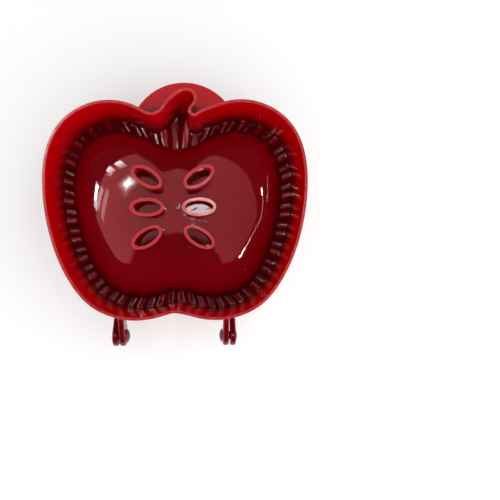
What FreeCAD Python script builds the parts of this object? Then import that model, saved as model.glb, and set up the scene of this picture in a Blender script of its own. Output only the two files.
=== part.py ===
import FreeCAD, Part
import math
import os
from collections import namedtuple

import Sketcher
from FreeCAD import Placement, Rotation, Vector

# An apple-shaped hand-pie press: two hinged plastic halves that crimp a filled pie between them.
# Each half has a filling bowl, a fluted crimping rim, and a deep apple-shaped cutter on its back.
# The press lies closed, standing on the cutter of its base, its hinge towards -Y and its stem towards +Y.

doc = FreeCAD.newDocument("pastry_mold")

# Driving sizes in millimetres, angles in degrees, and counts
SIZES = [
    ("apple_width", 108.6, "apple across its cutter rim"),
    ("apple_height", 90.4, "apple from lobe to lobe, stem left out"),
    ("half_depth", 22.0, "one half from its crimping face to its cutter rim"),
    ("cutter_flare", 1.0, "how far the cutter widens from foot to rim"),
    ("rim_land", 1.3, "cutter wall at its rim"),
    ("wall_foot", 1.7, "cutter wall at its foot"),
    ("plate_wall", 1.8, "bowl and crimping rim, front to back"),
    ("crimp_width", 8.2, "crimping rim from the cutter to the bowl"),
    ("crimp_gap", 0.6, "dough gap between the closed crimping rims"),
    ("flute_count", 35, "flutes round the crimping rim"),
    ("flute_rise", 1.0, "flute above and below its middle"),
    ("bowl_depth", 13.5, "filling bowl below the crimping rim"),
    ("edge_round", 0.35, "rounding of moulded edges"),
    ("lip_round", 0.9, "rounding where the rim turns into the bowl"),
    ("foot_round", 0.6, "rounding in the corners behind the rim"),
    ("tab_radius", 24.0, "thumb tab"),
    ("tab_wall", 2.4, "thumb tab, front to back"),
    ("tab_drop", 7.5, "thumb tab behind the crimping face"),
    ("tab_aside", 3.2, "thumb tab centre right of the apple's middle"),
    ("tab_ahead", 33.1, "thumb tab centre from the apple's middle towards the stem"),
    ("tab_round", 0.6, "rounding of the thumb tab's edge"),
    ("seed_length", 14.0, "seed cutter, outside"),
    ("seed_width", 7.6, "seed cutter, outside"),
    ("seed_wall", 1.2, "seed cutter wall"),
    ("seed_back", 0.6, "seed cutters below the cutter rim"),
    ("seed_columns", 21.4, "between the two columns of seeds"),
    ("seed_rows", 12.4, "between the rows of seeds"),
    ("seed_tilt", 32.0, "slant of the outer seeds"),
    ("seed_aside", -1.0, "middle of the seeds right of the apple's middle"),
    ("seed_ahead", 1.1, "middle of the seeds from the apple's middle towards the stem"),
    ("hinge_aside", -2.0, "middle of the hinge right of the apple's middle"),
    ("hinge_half_span", 24.9, "from the middle of the hinge to the joint of each lug and ear"),
    ("pivot_reach", 10.2, "hinge axis beyond the apple's lower lobes"),
    ("knuckle_radius", 4.5, "round end of the lugs and ears"),
    ("knuckle_wall", 2.7, "thickness of the lugs and ears"),
    ("knuckle_round", 0.9, "rounding of the lugs' and ears' edges"),
    ("knuckle_gap", 0.5, "between a lug and its ear"),
    ("knuckle_root_low", 3.2, "near edge of a lug's root from the crimping face"),
    ("knuckle_root_high", 9.4, "far edge of a lug's root from the crimping face"),
    ("pin_radius", 1.9, "hinge pin shank, a push fit in the ear"),
    ("pin_clearance", 0.06, "running clearance of the pin in the lug"),
    ("pin_head_radius", 3.0, "hinge pin head"),
    ("pin_head_height", 1.5, "hinge pin head"),
    ("pin_head_rim", 0.5, "straight edge of the hinge pin head"),
    ("pin_head_play", 0.1, "between a pin's head and its lug"),
    ("pin_tip", 0.5, "chamfered tip of the pin beyond the ear"),
]

sheet = doc.addObject("Spreadsheet::Sheet", "sizes")
for row, (alias, value, note) in enumerate(SIZES, start=1):
    sheet.set(f"A{row}", note)
    sheet.set(f"B{row}", str(value))
    sheet.setAlias(f"B{row}", alias)
doc.recompute()


def size(alias):
    """A driving size as the sheet holds it"""
    return float(sheet.get(alias))


# Outline of the cutter rim, as hand-picked shares of half the apple's width and half its height.
# The side runs from the dimple at the hinge to the shoulder beside the stem, and is mirrored on the left.
side_shares = [
    (0.083, -0.955), (0.174, -0.983), (0.304, -1.0), (0.464, -0.971), (0.646, -0.863), (0.780, -0.681),
    (0.875, -0.469), (0.941, -0.240), (0.983, 0.0), (1.0, 0.254), (0.978, 0.522), (0.884, 0.772),
    (0.706, 0.942), (0.479, 0.998), (0.359, 0.974),
]
hinge_dimple_share = (0.0, -0.936)
# The stem leans right, and runs from the right shoulder over its tip to the left shoulder
stem_shares = {
    "right slope": (0.249, 0.932),
    "right shoulder": (0.177, 0.894),
    "right notch": (0.135, 0.872),
    "right foot": (0.124, 0.898),
    "right side": (0.147, 0.945),
    "right bend": (0.168, 0.992),
    "right corner": (0.146, 1.076),
    "tip": (0.074, 1.105),
    "left corner": (0.009, 1.073),
    "left bend": (-0.042, 1.027),
    "left side": (-0.085, 0.965),
    "left foot": (-0.124, 0.909),
    "left notch": (-0.182, 0.884),
    "left shoulder": (-0.254, 0.919),
}
# The dimple under the stem, which the bowl follows
stem_dimple_shares = [
    (0.249, 0.932), (0.160, 0.883), (0.074, 0.832), (0.0, 0.814),
    (-0.074, 0.832), (-0.160, 0.883), (-0.249, 0.932),
]
# Middle of the bowl, and the fullness of its section: 2 is an ellipse, more is boxier
bowl_centre_share = (0.0, -0.066)
bowl_fullness = 2.6
# How square the flutes are: near 0 is a plain wave, more gives flatter lands and steeper sides
flute_squareness = 2.1
# Counts of control points round the apple for each flute, and of points that inset an outline
points_per_flute = 18
inset_points = 72

half_width = size("apple_width") / 2
half_height = size("apple_height") / 2
half_depth = size("half_depth")
crimp_gap = size("crimp_gap")
crimp_height = half_depth + crimp_gap / 2
hinge_drop = half_height + size("pivot_reach")
# The press is centred over its origin from the knuckles to the tip of the thumb tab
tab_tip = size("tab_ahead") + size("tab_radius")
apple_y = (hinge_drop + size("knuckle_radius") - tab_tip) / 2
pivot_y = apple_y - hinge_drop


def outline_point(share):
    """A share of half the width and half the height, as a point of the rim outline"""
    return Vector(share[0] * half_width, apple_y + share[1] * half_height, 0)


def mirrored(shares):
    """The same shares on the left, in the order that carries an outline on anticlockwise"""
    return [(-across, along) for across, along in reversed(shares)]


def closed_curve(points):
    """A smooth closed curve through points"""
    curve = Part.BSplineCurve()
    curve.interpolate(Points=points, PeriodicFlag=True)
    return curve


def inward(curve, parameter):
    """Unit vector from a point of an anticlockwise outline to its inside"""
    along = curve.tangent(parameter)[0]
    return Vector(-along.y, along.x, 0)


def inset_curve(curve, distance):
    """An outline moved inward by a distance"""
    length = curve.length()
    points = []
    for index in range(inset_points):
        parameter = curve.parameterAtDistance(length * index / inset_points, curve.FirstParameter)
        points.append(curve.value(parameter) + inward(curve, parameter) * distance)
    return closed_curve(points)


def outline_curve(top_shares):
    """An apple outline with the given run of shares across its top"""
    shares = [hinge_dimple_share, *side_shares, *top_shares, *mirrored(side_shares)]
    return closed_curve([outline_point(share) for share in shares])


rim_curve = outline_curve(stem_shares.values())
plain_curve = outline_curve(stem_dimple_shares)
bowl_curve = inset_curve(plain_curve, size("cutter_flare") + size("crimp_width"))
bowl_centre = outline_point(bowl_centre_share)


def arc_at(curve, point):
    """Distance along an outline to the place nearest a point"""
    parameter = curve.parameter(point)
    return curve.length(curve.FirstParameter, parameter)


def bowl_arc_below(parameter):
    """Distance along the bowl to where a line from its middle to the cutter's foot crosses it"""
    foot_inset = size("cutter_flare") + size("wall_foot")
    foot = rim_curve.value(parameter) + inward(rim_curve, parameter) * foot_inset
    crossing = bowl_curve.intersectCC(Part.LineSegment(bowl_centre, foot))[0]
    return arc_at(bowl_curve, Vector(crossing.X, crossing.Y, crossing.Z))


def overhang_marks():
    """Matching distances along the rim and along the bowl, at the ends of the stem's overhanging side"""
    marks = []
    for name in ("right notch", "right corner"):
        parameter = rim_curve.parameter(outline_point(stem_shares[name]))
        marks.append((rim_curve.length(rim_curve.FirstParameter, parameter), bowl_arc_below(parameter)))
    return marks


# A place round the apple: its points on the rim and on the bowl edge, the ways to move there from one
# parallel outline to the next, and the flute wave
Station = namedtuple("Station", "rim rim_inward bowl bowl_outward wave")


def make_stations():
    """Places evenly spaced round the rim, each matched with the bowl edge below it"""
    flutes = int(size("flute_count"))
    count = flutes * points_per_flute
    rim_length = rim_curve.length()
    bowl_length = bowl_curve.length()
    (rim_first, bowl_first), (rim_last, bowl_last) = overhang_marks()
    stations = []
    for index in range(count):
        rim_arc = rim_length * index / count
        parameter = rim_curve.parameterAtDistance(rim_arc, rim_curve.FirstParameter)
        rim = rim_curve.value(parameter)
        if rim_first < rim_arc < rim_last:
            share = (rim_arc - rim_first) / (rim_last - rim_first)
            bowl_arc = bowl_first + (bowl_last - bowl_first) * share
        else:
            bowl_arc = bowl_arc_below(parameter)
        bowl_parameter = bowl_curve.parameterAtDistance(bowl_arc, bowl_curve.FirstParameter)
        bowl = bowl_curve.value(bowl_parameter)
        swing = math.cos(2 * math.pi * flutes * bowl_arc / bowl_length)
        wave = math.tanh(flute_squareness * swing) / math.tanh(flute_squareness)
        bowl_outward = bowl - bowl_centre
        bowl_outward /= -bowl_outward.dot(inward(bowl_curve, bowl_parameter))
        stations.append(Station(rim, inward(rim_curve, parameter), bowl, bowl_outward, wave))
    return stations


stations = make_stations()


def rim_row(inset, behind, ripple=0):
    """Control points inset from the rim and behind the crimping face, with a share of the flutes"""
    rise = size("flute_rise") * ripple
    return [at.rim + at.rim_inward * inset + Vector(0, 0, behind + rise * at.wave) for at in stations]


def bowl_row(outset, shrink, behind, ripple=0):
    """A row that follows the bowl's edge, set out from it and then drawn to its middle by a share"""
    rise = size("flute_rise") * ripple
    row = []
    for at in stations:
        edge = at.bowl + at.bowl_outward * outset
        row.append(bowl_centre + (edge - bowl_centre) * shrink + Vector(0, 0, behind + rise * at.wave))
    return row


def blends(row_a, row_b):
    """Two rows evenly spaced between a row and another"""
    return [[a + (b - a) * share for a, b in zip(row_a, row_b)] for share in (1 / 3, 2 / 3)]


# Section of the bowl from its lip to its floor: angles, and how much of the flutes each still shows
section_angles = [9, 17, 26, 36, 47, 58, 68]
section_ripple_shares = [0.6, 0.2, 0, 0, 0, 0, 0]
floor_shares = [0.32, 0.2, 0.1]


def bowl_rows(outset, behind, flip):
    """Rows down the section of the bowl, or of its back, to the flat middle of its floor"""
    depth = size("bowl_depth")
    power = 2 / bowl_fullness
    rows = []
    for angle, ripple in zip(section_angles, section_ripple_shares):
        turn = math.radians(angle)
        shrink = math.cos(turn) ** power
        rows.append(bowl_row(outset, shrink, behind + depth * math.sin(turn) ** power, flip * ripple))
    sag = floor_shares[0] ** bowl_fullness / bowl_fullness
    rows.append(bowl_row(outset, floor_shares[0], behind + depth * (1 - sag)))
    for shrink in floor_shares[1:]:
        rows.append(bowl_row(outset, shrink, behind + depth))
    return rows


def front_rows(flip):
    """From the foot of the cutter's outside, over the crimping rim and down into the bowl"""
    edge = size("edge_round")
    lip = size("lip_round")
    foot = size("cutter_flare")
    outer = rim_row(foot + edge, 0, flip)
    inner = bowl_row(lip, 1, 0, flip)
    rows = [rim_row(foot, edge, flip), rim_row(foot, 0, flip), outer, *blends(outer, inner), inner]
    rows += [bowl_row(0, 1, 0, flip), bowl_row(0, 1, lip, flip)]
    return rows + bowl_rows(0, 0, flip)


def outside_rows(flip):
    """Up the outside of the cutter to its rim"""
    edge = size("edge_round")
    low = rim_row(size("cutter_flare"), edge, flip)
    high = rim_row(0, half_depth - edge)
    return [low, *blends(low, high), high, rim_row(0, half_depth), rim_row(edge, half_depth)]


def inside_rows(flip):
    """From the rim down the inside of the cutter to its foot"""
    edge = size("edge_round")
    land = size("rim_land")
    high = rim_row(land, half_depth - edge)
    low = rim_row(size("cutter_flare") + size("wall_foot"), size("plate_wall") + size("foot_round"), flip)
    return [rim_row(land - edge, half_depth), rim_row(land, half_depth), high, *blends(high, low), low]


def back_rows(flip):
    """From the foot of the cutter's inside, over the back of the crimping rim and up the bowl's back"""
    plate = size("plate_wall")
    fillet = size("foot_round")
    foot = size("cutter_flare") + size("wall_foot")
    outer = rim_row(foot + fillet, plate, flip)
    inner = bowl_row(plate + fillet, 1, plate, flip)
    rows = [rim_row(foot, plate + fillet, flip), rim_row(foot, plate, flip)]
    rows += [outer, *blends(outer, inner), inner]
    rows += [bowl_row(plate, 1, plate, flip), bowl_row(plate, 1, plate + fillet, flip)]
    return rows + bowl_rows(plate, plate, flip)


def skin(rows, side):
    """A smooth band of surface once round the lid's or the base's apple, as one patch for each flute"""
    poles = []
    for points in zip(*rows):
        poles.append([Vector(p.x, p.y, crimp_height + side * (crimp_gap / 2 + p.z)) for p in points])
    around = len(poles)
    across = len(rows)
    band = Part.BSplineSurface()
    band.buildFromPolesMultsKnots(
        poles,
        [1] * (around + 1), [4] + [1] * (across - 4) + [4],
        list(range(around + 1)), list(range(across - 2)),
        True, False, 3, 3,
    )
    patches = []
    for start in range(0, around, points_per_flute):
        patch = band.copy()
        patch.segment(start, start + points_per_flute, 0, across - 3)
        patches.append(patch)
    return patches


def edge_wire(patches, last):
    """The closed edge along the first or the last row of a skin"""
    low, high = patches[0].bounds()[2:]
    return Part.Wire([patch.vIso(high if last else low).toShape() for patch in patches])


def half_skin(name, side):
    """One half without its tab, knuckles and seeds, as a closed shell of skins and flat faces"""
    front, outside, inside, back = (
        skin(rows(side), side) for rows in (front_rows, outside_rows, inside_rows, back_rows)
    )
    flats = [
        [edge_wire(front, True)],
        [edge_wire(outside, True), edge_wire(inside, False)],
        [edge_wire(back, True)],
    ]
    faces = [patch.toShape() for patches in (front, outside, inside, back) for patch in patches]
    faces += [Part.makeFace(wires, "Part::FaceMakerBullseye") for wires in flats]
    solid = Part.makeSolid(Part.makeShell(faces))
    if solid.Volume < 0:
        solid.reverse()
    feature = doc.addObject("Part::Feature", name)
    feature.Shape = solid
    return feature


def bind(thing, **expressions):
    """Ties properties of an object to the sheet"""
    for name, expression in expressions.items():
        thing.setExpression(name, expression)


def wall_middle_inset(behind):
    """How far inside the rim outline the middle of the cutter's wall lies, behind the crimping face"""
    rise_share = behind / half_depth
    foot = size("cutter_flare") + size("wall_foot")
    outer = size("cutter_flare") * (1 - rise_share)
    inner = foot + (size("rim_land") - foot) * rise_share
    return (outer + inner) / 2


def tab_core(name):
    """The space inside the cutter, out to the middle of its wall, that the thumb tab is cut away from"""
    inset = wall_middle_inset(size("tab_drop") + size("tab_wall") / 2)
    middle = closed_curve([at.rim + at.rim_inward * inset for at in stations])
    face = Part.makeFace([Part.Wire([middle.toShape()])], "Part::FaceMakerBullseye")
    core = doc.addObject("Part::Feature", name)
    core.Shape = face.extrude(Vector(0, 0, 2 * crimp_height))
    return core


def thumb_tab(name, side):
    """The round thumb tab behind the stem, which ends inside the cutter's wall"""
    disc = doc.addObject("Part::Cylinder", f"{name}_disc")
    bind(disc, Radius="sizes.tab_radius", Height="sizes.tab_wall")
    low = size("tab_drop") if side > 0 else -size("tab_drop") - size("tab_wall")
    disc.Placement.Base = Vector(size("tab_aside"), apple_y + size("tab_ahead"), crimp_height + low)
    doc.recompute()
    rounded = doc.addObject("Part::Fillet", f"{name}_rounded")
    rounded.Base = disc
    radius = size("tab_round")
    edges = enumerate(disc.Shape.Edges, start=1)
    rounded.Edges = [(number, radius, radius) for number, edge in edges if edge.Closed]
    tab = doc.addObject("Part::Cut", name)
    tab.Base = rounded
    tab.Tool = tab_core(f"{name}_core")
    return tab


def bowl_floor(point):
    """How deep the bowl is under a point"""
    offset = point - bowl_centre
    nearest = max(stations, key=lambda at: offset.dot((at.bowl - bowl_centre).normalize()))
    share = offset.Length / (nearest.bowl - bowl_centre).Length
    return size("bowl_depth") * (1 - share ** bowl_fullness) ** (1 / bowl_fullness)


def elliptic_post(name, length, width, height, place):
    """A post with an elliptic outline, standing at a place"""
    outline = doc.addObject("Part::Ellipse", f"{name}_outline")
    bind(outline, MajorRadius=f"({length}) / 2", MinorRadius=f"({width}) / 2")
    outline.Placement = place
    post = doc.addObject("Part::Extrusion", name)
    post.Base = outline
    post.DirMode = "Normal"
    post.LengthFwd = height
    post.Solid = True
    return post


def seed_cutter(name, column, row):
    """An oval cutter ring that grows out of the bowl's back, pointing at the middle of the seeds"""
    middle = Vector(size("seed_aside"), apple_y + size("seed_ahead"), 0)
    centre = middle + Vector(column * size("seed_columns") / 2, row * size("seed_rows"), 0)
    turn = Rotation(Vector(0, 0, 1), column * row * size("seed_tilt"))
    reach = Vector(size("seed_length") / 2, 0, 0)
    floors = [bowl_floor(centre + turn.multVec(reach * end)) for end in (-1, 0, 1)]
    root = (max(floors) + min(floors) + size("plate_wall")) / 2
    place = Placement(centre + Vector(0, 0, crimp_height + crimp_gap / 2 + root), turn)
    height = half_depth - size("seed_back") - root
    length, width, walls = "sizes.seed_length", "sizes.seed_width", "2 * sizes.seed_wall"
    ring = doc.addObject("Part::Cut", name)
    ring.Base = elliptic_post(f"{name}_outside", length, width, height, place)
    ring.Tool = elliptic_post(f"{name}_inside", f"{length} - {walls}", f"{width} - {walls}", height, place)
    return ring


def origin_plane(body, role):
    """One of a body's own origin planes"""
    return next(plane for plane in body.Origin.OriginFeatures if plane.Role == role)


def new_sketch(body, name, role):
    """A sketch on one of a body's own origin planes"""
    sketch = body.newObject("Sketcher::SketchObject", name)
    sketch.AttachmentSupport = [(origin_plane(body, role), "")]
    sketch.MapMode = "FlatFace"
    return sketch


def fix(sketch, kind, *where, to):
    """A dimension in a sketch, tied to the sheet by an expression"""
    start = float(sketch.evalExpression(to))
    index = sketch.addConstraint(Sketcher.Constraint(kind, *where, start))
    sketch.setExpression(f"Constraints[{index}]", to)


def wall_middle_y(x, behind):
    """Where the middle of the cutter's wall lies at the hinge side, across at x"""
    near = min((at for at in stations if at.rim.y < apple_y), key=lambda at: abs(at.rim.x - x))
    return near.rim.y + near.rim_inward.y * wall_middle_inset(behind)


def tangent_angle(reach, height, radius, over):
    """Angle where a line from a root corner touches the knuckle's round end, over it or under it"""
    spread = math.acos(radius / math.hypot(reach, height))
    return math.atan2(height, reach) + (spread if over else -spread)


def plate_edges(plate, reach):
    """Names of the edges round a knuckle's two flat faces, apart from its root and its bore"""
    names = []
    for number, edge in enumerate(plate.Edges, start=1):
        box = edge.BoundBox
        on_flat_face = box.XLength < size("knuckle_wall") / 2
        at_root = box.YMin > reach / 2
        if on_flat_face and not at_root and not edge.Closed:
            names.append(f"Edge{number}")
    return names


def knuckle(name, start_x, side, bore):
    """A hinge lug or ear: a plate with a round end that grows out of the cutter's wall"""
    wall = size("knuckle_wall")
    radius = size("knuckle_radius")
    low, high = size("knuckle_root_low"), size("knuckle_root_high")
    reach = wall_middle_y(start_x + wall / 2, (low + high) / 2) - pivot_y
    body = doc.addObject("PartDesign::Body", name)
    body.Placement.Base = Vector(start_x, pivot_y, crimp_height)
    sketch = new_sketch(body, f"{name}_profile", "YZ_Plane")
    near_angle = tangent_angle(reach, low, radius, False)
    far_angle = tangent_angle(reach, high, radius, True)
    near_root, far_root = Vector(reach, side * low, 0), Vector(reach, side * high, 0)
    if side > 0:
        first_angle, last_angle = far_angle, near_angle + 2 * math.pi
        roots = [near_root, far_root]
        heights = ["sizes.knuckle_root_low", "sizes.knuckle_root_high"]
    else:
        first_angle, last_angle = -near_angle, 2 * math.pi - far_angle
        roots = [far_root, near_root]
        heights = ["sizes.knuckle_root_high", "sizes.knuckle_root_low"]
    whole_round = Part.Circle(Vector(0, 0, 0), Vector(0, 0, 1), radius)
    round_end = Part.ArcOfCircle(whole_round, first_angle, last_angle)
    sketch.addGeometry(round_end)
    sketch.addGeometry(Part.LineSegment(round_end.EndPoint, roots[0]))
    sketch.addGeometry(Part.LineSegment(roots[0], roots[1]))
    sketch.addGeometry(Part.LineSegment(roots[1], round_end.StartPoint))
    sketch.addGeometry(Part.Circle(Vector(0, 0, 0), Vector(0, 0, 1), size("pin_radius")))
    sketch.addConstraint(Sketcher.Constraint("Coincident", 0, 3, -1, 1))
    sketch.addConstraint(Sketcher.Constraint("Coincident", 4, 3, -1, 1))
    sketch.addConstraint(Sketcher.Constraint("Tangent", 0, 2, 1, 1))
    sketch.addConstraint(Sketcher.Constraint("Coincident", 1, 2, 2, 1))
    sketch.addConstraint(Sketcher.Constraint("Coincident", 2, 2, 3, 1))
    sketch.addConstraint(Sketcher.Constraint("Tangent", 3, 2, 0, 1))
    sketch.addConstraint(Sketcher.Constraint("Vertical", 2))
    fix(sketch, "Radius", 0, to="sizes.knuckle_radius")
    fix(sketch, "Radius", 4, to=bore)
    sketch.addConstraint(Sketcher.Constraint("DistanceX", -1, 1, 2, 1, reach))
    for end, height in zip((1, 2), heights):
        where = (-1, 1, 2, end) if side > 0 else (2, end, -1, 1)
        fix(sketch, "DistanceY", *where, to=height)
    pad = body.newObject("PartDesign::Pad", f"{name}_plate")
    pad.Profile = sketch
    bind(pad, Length="sizes.knuckle_wall")
    doc.recompute()
    rounded = body.newObject("PartDesign::Fillet", f"{name}_rounded")
    rounded.Base = (pad, plate_edges(pad.Shape, reach))
    bind(rounded, Radius="sizes.knuckle_round")
    return body


def hinge_pin(name, hand):
    """A push-in pin with a domed head on the inner side of its lug, turned about its own axis"""
    body = doc.addObject("PartDesign::Body", name)
    sketch = new_sketch(body, f"{name}_section", "XY_Plane")
    head, rim, play = size("pin_head_height"), size("pin_head_rim"), size("pin_head_play")
    head_radius, shank, tip = size("pin_head_radius"), size("pin_radius"), size("pin_tip")
    ear_face = head + play + 2 * size("knuckle_wall") + size("knuckle_gap")
    dome = head - rim
    dome_radius = (head_radius ** 2 + dome ** 2) / (2 * dome)
    half_turn = math.asin(head_radius / dome_radius) / 2
    dome_middle = Vector(dome_radius * (1 - math.cos(half_turn)), dome_radius * math.sin(half_turn), 0)
    corners = [
        Vector(dome, head_radius, 0),
        Vector(head, head_radius, 0),
        Vector(head, shank, 0),
        Vector(ear_face, shank, 0),
        Vector(ear_face + tip, shank - tip, 0),
        Vector(ear_face + tip, 0, 0),
        Vector(0, 0, 0),
    ]
    sketch.addGeometry(Part.Arc(corners[-1], dome_middle, corners[0]))
    for start, end in zip(corners, corners[1:]):
        sketch.addGeometry(Part.LineSegment(start, end))
    ear = "sizes.pin_head_height + sizes.pin_head_play + 2 * sizes.knuckle_wall + sizes.knuckle_gap"
    spots = [
        ("sizes.pin_head_height - sizes.pin_head_rim", "sizes.pin_head_radius"),
        ("sizes.pin_head_height", "sizes.pin_head_radius"),
        ("sizes.pin_head_height", "sizes.pin_radius"),
        (ear, "sizes.pin_radius"),
        (f"{ear} + sizes.pin_tip", "sizes.pin_radius - sizes.pin_tip"),
    ]
    count = len(corners)
    for line in range(1, count - 1):
        sketch.addConstraint(Sketcher.Constraint("Coincident", line, 2, line + 1, 1))
    for line, (along, across) in enumerate(spots, start=1):
        fix(sketch, "DistanceX", -1, 1, line, 1, to=along)
        fix(sketch, "DistanceY", -1, 1, line, 1, to=across)
    sketch.addConstraint(Sketcher.Constraint("Coincident", count - 1, 2, -1, 1))
    sketch.addConstraint(Sketcher.Constraint("Vertical", count - 2))
    sketch.addConstraint(Sketcher.Constraint("Horizontal", count - 1))
    turned = body.newObject("PartDesign::Revolution", f"{name}_turned")
    turned.Profile = sketch
    turned.ReferenceAxis = (sketch, ["H_Axis"])
    turned.Angle = 360
    inner_x = size("hinge_half_span") - size("knuckle_gap") / 2 - size("knuckle_wall") - play - head
    facing = Rotation(Vector(0, 0, 1), 0 if hand > 0 else 180)
    body.Placement = Placement(Vector(size("hinge_aside") + hand * inner_x, pivot_y, crimp_height), facing)
    return body


def knuckle_start(hand, outer):
    """Where a lug's or an ear's plate starts across the hinge, on the right or the left hand"""
    wall = size("knuckle_wall")
    gap = size("knuckle_gap")
    inner_face = size("hinge_half_span") + (gap / 2 if outer else -gap / 2 - wall)
    return size("hinge_aside") + (inner_face if hand > 0 else -inner_face - wall)


def moulding(name, pieces):
    """One half as a single moulding"""
    half = doc.addObject("Part::MultiFuse", name)
    half.Shapes = pieces
    return half


HANDS = {"left": -1, "right": 1}
SEED_ROWS = {"lower": -1, "middle": 0, "upper": 1}

lid_pieces = [half_skin("lid_skin", 1), thumb_tab("lid_tab", 1)]
base_pieces = [half_skin("base_skin", -1), thumb_tab("base_tab", -1)]
for hand_name, hand in HANDS.items():
    lug_bore = "sizes.pin_radius + sizes.pin_clearance"
    lid_pieces.append(knuckle(f"lug_{hand_name}", knuckle_start(hand, False), 1, lug_bore))
    base_pieces.append(knuckle(f"ear_{hand_name}", knuckle_start(hand, True), -1, "sizes.pin_radius"))
    for row_name, seed_row in SEED_ROWS.items():
        lid_pieces.append(seed_cutter(f"seed_{row_name}_{hand_name}", hand, seed_row))
parts = [moulding("lid_half", lid_pieces), moulding("base_half", base_pieces)]
parts += [hinge_pin(f"hinge_pin_{hand_name}", hand) for hand_name, hand in HANDS.items()]
doc.recompute()

for thing in doc.Objects:
    if {"Invalid", "Error"} & set(thing.State):
        raise RuntimeError(f"{thing.Name} failed: {thing.State}")
for part in parts:
    shape = part.Shape
    if shape.isNull() or not shape.isValid() or len(shape.Solids) != 1:
        raise RuntimeError(f"{part.Label} is not one valid solid")

os.makedirs("parts", exist_ok=True)
for part in parts:
    part.Shape.exportStep(os.path.join("parts", f"{part.Label}.step"))
    print(part.Label, "volume", round(part.Shape.Volume, 1), "mm3")
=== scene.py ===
import math

import bpy
from mathutils import Matrix, Quaternion, Vector


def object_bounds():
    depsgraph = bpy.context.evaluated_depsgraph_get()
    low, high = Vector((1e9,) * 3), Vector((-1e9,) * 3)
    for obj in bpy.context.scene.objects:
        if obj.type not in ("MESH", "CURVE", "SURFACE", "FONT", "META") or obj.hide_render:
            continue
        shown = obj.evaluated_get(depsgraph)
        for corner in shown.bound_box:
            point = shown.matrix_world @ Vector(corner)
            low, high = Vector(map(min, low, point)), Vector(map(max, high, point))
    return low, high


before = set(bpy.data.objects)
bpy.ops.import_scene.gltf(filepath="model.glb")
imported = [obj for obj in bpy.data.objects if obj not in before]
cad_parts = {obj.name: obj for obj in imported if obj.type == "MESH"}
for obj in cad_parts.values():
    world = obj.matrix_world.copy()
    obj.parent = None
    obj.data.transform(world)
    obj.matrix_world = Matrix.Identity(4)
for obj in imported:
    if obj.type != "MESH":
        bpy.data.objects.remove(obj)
cad_low, cad_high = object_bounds()

# Lengths are in metres and angles in degrees. Light is a radiance, and lit white paper is about 1.
# A range is the two values of a measure between which something changes smoothly.

# Heights of the press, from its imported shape
rim_height = cad_high.z
crimp_height = rim_height / 2


# Helpers for node trees

def fill(tree, made, inputs):
    """Sets each input of a node to a value, or links it to a socket"""
    for name, value in inputs.items():
        if isinstance(value, bpy.types.NodeSocket):
            tree.links.new(value, made.inputs[name])
        else:
            made.inputs[name].default_value = value


def node(tree, kind, inputs=None, **settings):
    """A node with its settings and inputs"""
    made = tree.nodes.new(kind)
    for name, value in settings.items():
        setattr(made, name, value)
    fill(tree, made, inputs or {})
    return made


def calculate(tree, operation, *values):
    """A calculation on sockets and numbers"""
    return node(tree, "ShaderNodeMath", dict(enumerate(values)), operation=operation).outputs[0]


def combine(tree, operation, *vectors):
    """A calculation on vectors, whose result is a number or a vector"""
    made = node(tree, "ShaderNodeVectorMath", dict(enumerate(vectors)), operation=operation)
    gives_number = operation in ("LENGTH", "DISTANCE", "DOT_PRODUCT")
    return made.outputs["Value" if gives_number else "Vector"]


def parts_of(tree, vector):
    """The X, Y and Z of a vector"""
    return node(tree, "ShaderNodeSeparateXYZ", {0: vector}).outputs


def flattened(tree, place):
    """A place brought down to the plane of the floor"""
    return combine(tree, "MULTIPLY", place, (1, 1, 0))


def carry(tree, value, low, high, start=0.0, end=1.0):
    """A value carried smoothly from the range low to high over to the range start to end"""
    ends = {"Value": value, "From Min": low, "From Max": high, "To Min": start, "To Max": end}
    return node(tree, "ShaderNodeMapRange", ends, interpolation_type="SMOOTHSTEP").outputs["Result"]


def fade(tree, value, low, high):
    """1 up to the low end of a range, and 0 from its high end on"""
    return carry(tree, value, low, high, 1.0, 0.0)


def mix_colours(tree, share, first, second):
    """A colour that lies a share of the way from one to another"""
    # The node has sockets for numbers and vectors too: its colours are inputs 6 and 7 and output 2
    return node(tree, "ShaderNodeMix", {0: share, 6: first, 7: second}, data_type="RGBA").outputs[2]


def noise(tree, place, seed, scale, detail):
    """A cloudy pattern from 0 to 1"""
    inputs = {"Vector": place, "W": seed, "Scale": scale, "Detail": detail}
    return node(tree, "ShaderNodeTexNoise", inputs, noise_dimensions="4D").outputs["Fac"]


def new_material(name):
    """A material with only a principled shader and an output"""
    material = bpy.data.materials.new(name)
    material.use_nodes = True
    tree = material.node_tree
    tree.nodes.clear()
    shader = tree.nodes.new("ShaderNodeBsdfPrincipled")
    node(tree, "ShaderNodeOutputMaterial", {"Surface": shader.outputs["BSDF"]})
    return material, tree, shader


# Colours of the red plastic
# Painted shade: the dark red put deep in the form, where shade falls, and also used to darken the hinge
shade_red = (0.11, 0.0, 0.003, 1)
deep_red = (0.18, 0.0, 0.003, 1)
clear_red = (0.225, 0.0, 0.005, 1)
# Painted glow: the bright red of light passing through thin walls and the tabs
painted_glow_red = (0.47, 0.0, 0.005, 1)
seed_red = (0.50, 0.002, 0.010, 1)
# Rims: paler partly from wear and partly as a painted sheen of light on their rounding
wear_and_sheen_red = (0.46, 0.022, 0.028, 1)
# Sharp edges: paler partly from wear and partly as a painted highlight
edge_wear_and_sheen_red = (0.52, 0.06, 0.085, 1)
dust_grey = (0.47, 0.34, 0.34, 1)

# Where its colour changes: by distance from the plane between the halves, or from the press's middle line
# wall_range: heights over which the painted glow inside a wall fades into painted shade towards its foot
wall_range = (0.002, 0.0145)
seed_height_range = (0.0158, 0.0170)
seed_reach_range = (0.024, 0.028)

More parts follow.
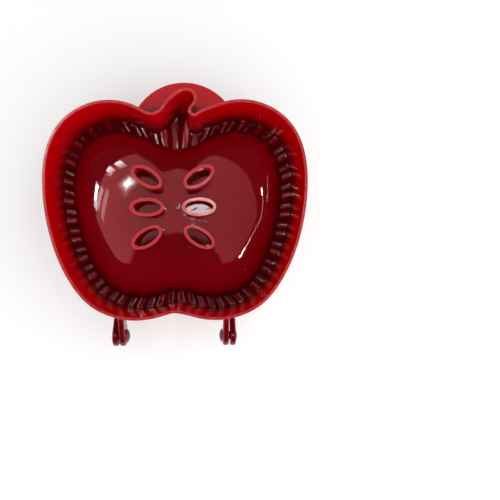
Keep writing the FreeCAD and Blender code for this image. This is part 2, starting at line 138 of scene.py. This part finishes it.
# The thumb tabs, which take the painted glow, and the hinge, which is darkened: how far from the ends of
# the press their colour starts, and is full, and the share of shade red that the hinge takes
end_colour_start = 0.0125
end_colour_full = 0.0095
tab_range = (cad_high.y - end_colour_start, cad_high.y - end_colour_full)
hinge_range = (cad_low.y + end_colour_full, cad_low.y + end_colour_start)
hinge_share = 0.7

# Walls, which take a painted glow as of light through the plastic: by the upright part of a face's
# direction, and by the part that points outwards, with the share of painted glow red that a wall takes
# outside
upright_range = (0.15, 0.5)
outward_range = (-0.2, 0.2)
outer_glow_share = 0.4

# What gets painted shade as deep, or a painted sheen as an edge: by the share of free directions round a
# place, tried with a few rays
probe_rays = 8
deep_reach = 0.018
open_range = (0.15, 0.75)
edge_reach = 0.0006
edge_range = (0.55, 0.90)

# Patterns in the plastic
mottles_per_metre = 40
mottle_detail = 3.0
mottle_range = (0.3, 0.7)
dimples_per_metre = 450
dimple_detail = 2.0
dimple_height = 0.000008
specks_per_metre = 220
speck_radius = 0.00012
speck_blur_share = 1.5
ring_spacing = 0.0022
ring_height = 0.0000012
ring_range = (0.006, 0.024)

# Wear on the rims, whose paler colour also paints in the sheen that their rounding catches: the breadth
# of its band, and how the pattern of the dimples breaks it up
worn_band = 0.0012
wear_range = (0.3, 0.7)
least_wear_share = 0.4

# Gloss of the plastic, and how far light wanders in it
plastic_ior = 1.49
gloss_range = (0.2, 0.8)
roughness_range = (0.015, 0.045)
worn_roughness = 0.25
wander_depth = 0.006
wander_shares = (1.0, 0.04, 0.04)


def from_middle(tree, place):
    """Distance from the upright line through the middle of the bowl"""
    return combine(tree, "LENGTH", flattened(tree, place))


def from_parting(tree, place):
    """Distance from the plane between the two halves"""
    height = parts_of(tree, place)["Z"]
    return calculate(tree, "ABSOLUTE", calculate(tree, "SUBTRACT", height, crimp_height))


def openness(tree, reach, inside=False):
    """The share of free directions within a reach, over the surface or, for edges, under it"""
    settings = {"inside": inside, "only_local": True, "samples": probe_rays}
    return node(tree, "ShaderNodeAmbientOcclusion", {"Distance": reach}, **settings).outputs["AO"]


def flow_rings(tree, away):
    """Faint ripples round the middle of the bowl, as plastic leaves when it flows into the mould"""
    wave = calculate(tree, "SINE", calculate(tree, "MULTIPLY", away, 2 * math.pi / ring_spacing))
    return calculate(tree, "MULTIPLY", wave, fade(tree, away, *ring_range))


def specks(tree, place, seed):
    """Rare small spots of dust, 1 on a spot and 0 elsewhere"""
    moved = combine(tree, "ADD", place, (seed, seed, seed))
    cells = node(tree, "ShaderNodeTexVoronoi", {"Vector": moved, "Scale": specks_per_metre})
    reach = speck_radius * specks_per_metre
    return fade(tree, cells.outputs["Distance"], reach, reach * speck_blur_share)


def wall_glow(tree, sources, height, deep):
    """How much painted glow an upright wall takes: evenly outside, and less towards its foot inside,
    where it fades into painted shade
    """
    tilt = calculate(tree, "ABSOLUTE", parts_of(tree, sources["Normal"])["Z"])
    upright = fade(tree, tilt, *upright_range)
    spoke = combine(tree, "NORMALIZE", flattened(tree, sources["Object"]))
    outside = carry(tree, combine(tree, "DOT_PRODUCT", sources["Normal"], spoke), *outward_range)
    outer = calculate(tree, "MULTIPLY", calculate(tree, "SUBTRACT", 1.0, deep), outer_glow_share)
    inner = carry(tree, height, *wall_range)
    glow = calculate(tree, "MULTIPLY_ADD", outside, calculate(tree, "SUBTRACT", outer, inner), inner)
    return calculate(tree, "MULTIPLY", upright, glow)


def body_colour(tree, sources, mottle, height, away):
    """Mottled red, with painted shade deep in the form, darker at the hinge, a painted glow of light
    through walls and tabs, and brighter in seed rings
    """
    along = parts_of(tree, sources["Object"])["Y"]
    # Painted shade: darker red where few directions round a place are free, deep in the form
    deep = fade(tree, openness(tree, deep_reach), *open_range)
    hinge = carry(tree, along, *hinge_range, hinge_share, 0.0)
    darkened = calculate(tree, "MAXIMUM", deep, hinge)
    tabs = carry(tree, along, *tab_range)
    # Painted glow: walls and tabs made brighter, as if lit through the plastic
    painted_glow = calculate(tree, "MAXIMUM", wall_glow(tree, sources, height, deep), tabs)
    raised = carry(tree, height, *seed_height_range)
    seeds = calculate(tree, "MULTIPLY", raised, fade(tree, away, *seed_reach_range))
    colour = mix_colours(tree, carry(tree, mottle, *mottle_range), deep_red, clear_red)
    for share, red in ((darkened, shade_red), (painted_glow, painted_glow_red), (seeds, seed_red)):
        colour = mix_colours(tree, share, colour, red)
    return colour


def surface_relief(tree, dimples, away):
    """Faint dimples and flow rings, as a change of the surface's direction"""
    relief = calculate(tree, "MULTIPLY", dimples, dimple_height)
    relief = calculate(tree, "MULTIPLY_ADD", flow_rings(tree, away), ring_height, relief)
    bump = node(tree, "ShaderNodeBump", {"Height": relief, "Distance": 1.0, "Strength": 1.0})
    return bump.outputs["Normal"]


def red_plastic(name, seed):
    """Glossy moulded plastic, with painted shade in its hollows, a painted glow in its thin walls, and
    pale edges and rims that are partly wear and partly a painted sheen
    """
    material, tree, shader = new_material(name)
    sources = node(tree, "ShaderNodeTexCoord").outputs
    place = sources["Object"]
    mottle = noise(tree, place, seed, mottles_per_metre, mottle_detail)
    dimples = noise(tree, place, seed, dimples_per_metre, dimple_detail)
    height = from_parting(tree, place)
    away = from_middle(tree, place)
    rim = carry(tree, height, crimp_height - worn_band, crimp_height)
    # Rim colour: wear, and a painted sheen
    wear_and_sheen = calculate(tree, "MULTIPLY", rim, carry(tree, dimples, *wear_range, least_wear_share, 1.0))
    colour = body_colour(tree, sources, mottle, height, away)
    # Edge colour: wear, and a painted highlight along sharp edges
    edge_wear_and_sheen = fade(tree, openness(tree, edge_reach, inside=True), *edge_range)
    dust = specks(tree, place, seed)
    for share, tint in ((edge_wear_and_sheen, edge_wear_and_sheen_red), (dust, dust_grey), (wear_and_sheen, wear_and_sheen_red)):
        colour = mix_colours(tree, share, colour, tint)
    gloss = carry(tree, mottle, *gloss_range, *roughness_range)
    scuffs_and_sheen = calculate(tree, "MAXIMUM", edge_wear_and_sheen, wear_and_sheen)
    fill(tree, shader, {
        "Base Color": colour,
        "Roughness": calculate(tree, "MULTIPLY_ADD", wear_and_sheen, worn_roughness, gloss),
        "Normal": surface_relief(tree, dimples, away),
        "IOR": plastic_ior,
        "Subsurface Weight": calculate(tree, "SUBTRACT", 1.0, scuffs_and_sheen),
        "Subsurface Radius": wander_shares,
        "Subsurface Scale": wander_depth,
    })
    return material


def dress(node_name, material):
    """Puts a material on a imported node"""
    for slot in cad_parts[node_name].material_slots:
        slot.material = material


dress("lid_half", red_plastic("lid plastic", 1.0))
dress("base_half", red_plastic("base plastic", 2.0))
pin_plastic = red_plastic("pin plastic", 3.0)
dress("hinge_pin_left", pin_plastic)
dress("hinge_pin_right", pin_plastic)


# Soft box that lights the colours. It hangs as the lamps further down do.
soft_box_middle = (0.4, -0.35)
soft_box_side = 3.0
soft_box_radiance = 1.17

# Floor, whose seen white is helped by a glow that grows with the distance from under the soft box
floor_half = 4.0
floor_white = (0.88, 0.88, 0.88, 1)
floor_roughness = 0.8
glow_reach_range = (0.3, 2.7)
glow_range = (0.14, 1.0)

# Room: its light by the upright part of a direction, times a share by the part that points right
horizon_range = (0.05, 0.45)
horizon_light = 0.9
zenith_light = 0.02
side_range = (-0.8, 0.4)
left_light_share = 1.6


def make_plane(name, low, high, height):
    """A flat sheet between two corners at a height, which is scenery and not part of the press"""
    mesh = bpy.data.meshes.new(name)
    corners = [(low[0], low[1]), (high[0], low[1]), (high[0], high[1]), (low[0], high[1])]
    mesh.from_pydata([(x, y, height) for x, y in corners], [], [(0, 1, 2, 3)])
    plane = bpy.data.objects.new(name, mesh)
    bpy.context.scene.collection.objects.link(plane)
    return plane


def seen_rays(tree):
    """1 for rays that show a surface to the camera, straight, mirrored or through clear matter"""
    paths = node(tree, "ShaderNodeLightPath").outputs
    mirrored = calculate(tree, "MAXIMUM", paths["Is Glossy Ray"], paths["Is Transmission Ray"])
    return calculate(tree, "MAXIMUM", paths["Is Camera Ray"], mirrored)


def make_floor():
    """A plain white floor that the press stands on, lifted to white where it is seen"""
    floor = make_plane("floor", (-floor_half, -floor_half), (floor_half, floor_half), 0)
    material, tree, shader = new_material("floor white")
    place = node(tree, "ShaderNodeTexCoord").outputs["Object"]
    away = combine(tree, "DISTANCE", place, (*soft_box_middle, 0))
    level = carry(tree, away, *glow_reach_range, *glow_range)
    fill(tree, shader, {
        "Base Color": floor_white,
        "Roughness": floor_roughness,
        "Specular IOR Level": 0.0,
        "Emission Color": (1, 1, 1, 1),
        "Emission Strength": calculate(tree, "MULTIPLY", seen_rays(tree), level),
    })
    floor.data.materials.append(material)


def make_room():
    """A room that is bright near the horizon and dim overhead, white where the camera sees it"""
    world = bpy.data.worlds.new("room")
    bpy.context.scene.world = world
    world.use_nodes = True
    tree = world.node_tree
    tree.nodes.clear()
    direction = parts_of(tree, node(tree, "ShaderNodeTexCoord").outputs["Generated"])
    side_share = carry(tree, direction["X"], *side_range, left_light_share, 1.0)
    level = carry(tree, direction["Z"], *horizon_range, horizon_light, zenith_light)
    level = calculate(tree, "MULTIPLY", level, side_share)
    seen = node(tree, "ShaderNodeLightPath").outputs["Is Camera Ray"]
    strength = calculate(tree, "MAXIMUM", level, seen)
    background = node(tree, "ShaderNodeBackground", {"Color": (1, 1, 1, 1), "Strength": strength})
    node(tree, "ShaderNodeOutputWorld", {"Surface": background.outputs["Background"]})


make_floor()
make_room()


# Ceiling that shows only in the gloss: a square set cornerwise, cut off by the edges of its sheet
ceiling_height = 1.0
ceiling_low = (-1.15, -0.36)
ceiling_high = (0.95, 1.05)
ceiling_middle = (-0.105, 0.0)
ceiling_reach = 0.975
ceiling_light_range = (3.2, 1.2)
ceiling_colour = (1, 0.27, 0.28, 1)
patch_middle = (-0.08, -0.42)
patch_radius = 0.40
soft_edge = 0.03


def make_ceiling():
    """A warm ceiling over the press, brighter on the left, with a round dark patch on the hinge side"""
    ceiling = make_plane("ceiling", ceiling_low, ceiling_high, ceiling_height)
    ceiling.visible_camera = False
    ceiling.visible_diffuse = False
    material, tree, shader = new_material("ceiling")
    place = node(tree, "ShaderNodeTexCoord").outputs["Object"]
    parts = parts_of(tree, place)
    offsets = [
        calculate(tree, "ABSOLUTE", calculate(tree, "SUBTRACT", parts[axis], middle))
        for axis, middle in zip("XY", ceiling_middle)
    ]
    inside = fade(tree, calculate(tree, "ADD", *offsets), ceiling_reach - soft_edge, ceiling_reach)
    away = combine(tree, "DISTANCE", place, (*patch_middle, ceiling_height))
    clear = carry(tree, away, patch_radius - soft_edge, patch_radius + soft_edge)
    lit = calculate(tree, "MULTIPLY", inside, clear)
    level = carry(tree, parts["X"], ceiling_low[0], ceiling_high[0], *ceiling_light_range)
    fill(tree, shader, {
        "Base Color": (0, 0, 0, 1),
        "Emission Color": ceiling_colour,
        "Emission Strength": calculate(tree, "MULTIPLY", lit, level),
    })
    ceiling.data.materials.append(material)


# Lamps. Their places are given across and along the ceiling, and they hang a little under it.
lamp_height_share = 0.9
press_middle = Vector((0, 0, crimp_height))

# An area lamp's radiance in Blender is its energy over this many times its area
area_factor = 4

# Colours of light
white = (1, 1, 1)
pink = (1, 0.82, 0.82)
tan = (1, 0.72, 0.62)

# Lamps that show in the gloss: the ends of each, its breadth, its radiance and its colour
mirrored_lamps = {
    "window, outer band": ((-0.87, 0.30), (-1.03, 0.08), 0.07, 10, white),
    "window, bright part": ((-0.887, 0.276), (-0.974, 0.157), 0.045, 60, white),
    "window, middle band": ((-0.75, 0.23), (-0.92, 0.09), 0.055, 5, pink),
    "window, inner band": ((-0.63, 0.20), (-0.83, 0.01), 0.045, 3.5, tan),
    "ring lamp": ((-0.03, 0.117), (0.15, 0.117), 0.048, 10, white),
    "right tube, far end": ((0.93, 0.23), (1.05, 0.10), 0.012, 8, pink),
    "right tube, middle": ((1.05, 0.10), (1.05, -0.05), 0.012, 8, pink),
    "right tube, near bend": ((1.05, -0.05), (0.77, -0.18), 0.012, 6, pink),
    "right tube, near part": ((0.77, -0.18), (0.70, -0.26), 0.02, 10, pink),
    "right tube, near end": ((0.70, -0.26), (0.63, -0.35), 0.035, 22, white),
    "right tube, far core": ((0.93, 0.23), (0.96, 0.20), 0.03, 150, white),
    "right tube, near core": ((0.70, -0.26), (0.63, -0.35), 0.03, 150, white),
}

# Panes behind a blind: the ends of each, and the strips that it is made of
panes = {
    "first pane": ((-0.61, 0.40), (-0.53, 0.47)),
    "second pane": ((-0.46, 0.51), (-0.385, 0.56)),
}
pane_depth = 0.13
pane_strips = 4
pane_radiance = 15
strip_breadth_share = 0.75

# Lamp with a bright core, in layers that each lie a little nearer to the press
soft_lamp_start = (-0.44, 0.20)
soft_lamp_end = (-0.26, 0.36)
soft_lamp_breadth = 0.11
lamp_layers = 5
outer_radiance = 0.5
layer_growth = 2.8
layer_step_share = 0.01


def make_lamp(name, start, end, breadth, radiance, colour, mirrored=True, distance_share=1.0):
    """A flat light along a line under the ceiling, facing the press, for its gloss or for its colour"""
    height_share = lamp_height_share * distance_share
    first, last = [Vector((*spot, ceiling_height)) * height_share for spot in (start, end)]
    light = bpy.data.lights.new(name, "AREA")
    light.shape = "RECTANGLE"
    light.size = (last - first).length
    light.size_y = breadth
    light.color = colour
    light.energy = area_factor * light.size * light.size_y * radiance
    made = bpy.data.objects.new(name, light)
    made.location = (first + last) / 2
    back = (made.location - press_middle).normalized()
    up = back.cross(last - first).normalized()
    made.rotation_mode = "QUATERNION"
    made.rotation_quaternion = Matrix((up.cross(back), up, back)).transposed().to_quaternion()
    made.visible_camera = False
    made.visible_glossy = mirrored
    made.visible_diffuse = not mirrored
    bpy.context.scene.collection.objects.link(made)


def make_soft_box():
    """A wide flat light that gives the colours their level and shows in no reflection"""
    middle = Vector(soft_box_middle)
    ends = [middle + Vector((side * soft_box_side / 2, 0)) for side in (-1, 1)]
    make_lamp("soft box", *ends, soft_box_side, soft_box_radiance, white, mirrored=False)


def make_pane(name, start, end):
    """A window pane behind a blind, in strips that dim towards the point over the press"""
    first, last = Vector(start), Vector(end)
    outward = ((first + last) / 2).normalized()
    pitch = pane_depth / pane_strips
    breadth = pitch * strip_breadth_share
    for strip in range(pane_strips):
        shift = outward * (pane_depth / 2 - pitch * (strip + 0.5))
        radiance = pane_radiance * (1 - strip / pane_strips)
        make_lamp(f"{name}, strip {strip + 1}", first + shift, last + shift, breadth, radiance, white)


def make_layered_lamp(name, start, end, breadth):
    """A lamp that brightens towards its middle, in layers"""
    first, last = Vector(start), Vector(end)
    middle = (first + last) / 2
    for layer in range(lamp_layers):
        share = 1 - layer / lamp_layers
        ends = [middle.lerp(spot, share) for spot in (first, last)]
        radiance = outer_radiance * layer_growth ** layer
        distance = 1 - layer * layer_step_share
        layer_name = f"{name}, layer {layer + 1}"
        make_lamp(layer_name, *ends, breadth * share, radiance, white, distance_share=distance)


make_ceiling()
make_soft_box()
for lamp_name, values in mirrored_lamps.items():
    make_lamp(lamp_name, *values)
for pane_name, pane_ends in panes.items():
    make_pane(pane_name, *pane_ends)
make_layered_lamp("soft lamp", soft_lamp_start, soft_lamp_end, soft_lamp_breadth)


# Camera above the press, a little towards the hinge and to the right. Its lens is in millimetres.
camera_place = Vector((0.0109, -0.0173, 0.2184))
camera_aim = Vector((0.0120, -0.0152, rim_height))
camera_roll = -0.4
camera_lens = 30.76
camera_shift = 0.09
nearest_seen = 0.01


def make_camera():
    """The photograph's viewpoint, with the press left of the middle"""
    data = bpy.data.cameras.new("camera")
    data.lens = camera_lens
    data.shift_x = camera_shift
    data.clip_start = nearest_seen
    camera = bpy.data.objects.new("camera", data)
    camera.location = camera_place
    camera.rotation_mode = "QUATERNION"
    facing = Vector((0, 0, -1)).rotation_difference(camera_aim - camera_place)
    camera.rotation_quaternion = facing @ Quaternion((0, 0, 1), math.radians(camera_roll))
    bpy.context.scene.collection.objects.link(camera)
    bpy.context.scene.camera = camera


make_camera()
bpy.context.scene.view_settings.view_transform = "Standard"
